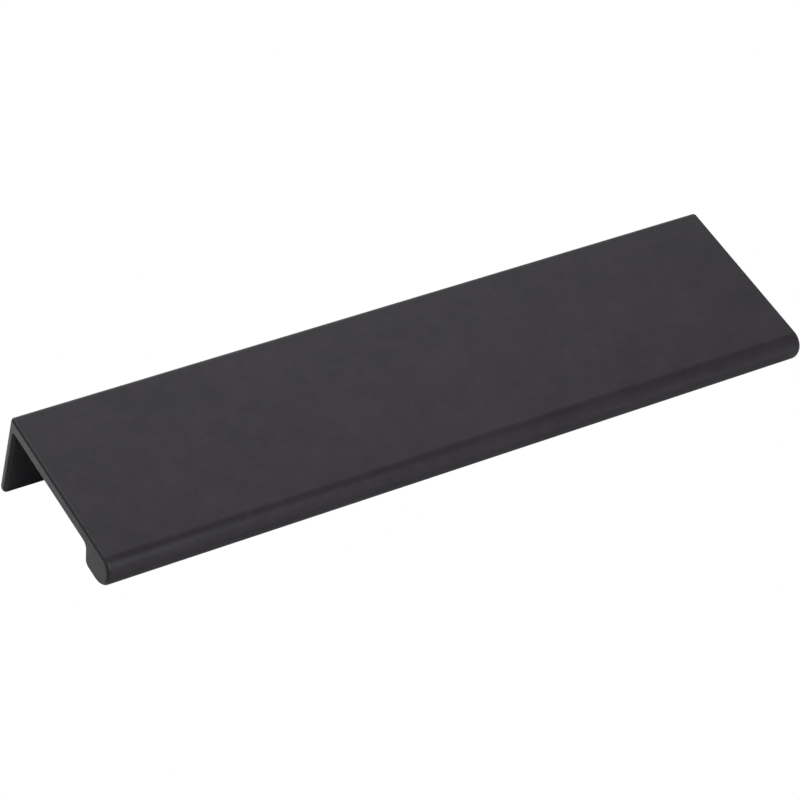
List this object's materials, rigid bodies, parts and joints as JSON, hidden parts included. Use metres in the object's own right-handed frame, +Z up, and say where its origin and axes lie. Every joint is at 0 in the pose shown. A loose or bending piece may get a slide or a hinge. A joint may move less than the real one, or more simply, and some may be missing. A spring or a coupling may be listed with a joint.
{
  "type": "tab pull",
  "caption": "Edge tab pull: a flat plate that lies over a door or drawer edge, with a thick rounded finger lip in front and a thin screw leg behind.",
  "frame": {"origin": "middle of the screw line, on the face of the leg that lies against the back of the door", "axes": "+X along the pull, -Y out through the door towards the lip, +Z up towards the plate"},
  "size_m": [0.1524, 0.0381, 0.019],
  "materials": {
    "matt_black_coat": "matte"
  },
  "bodies": {
    "root": {"tab_pull": "matt_black_coat"}
  },
  "joints": []
}
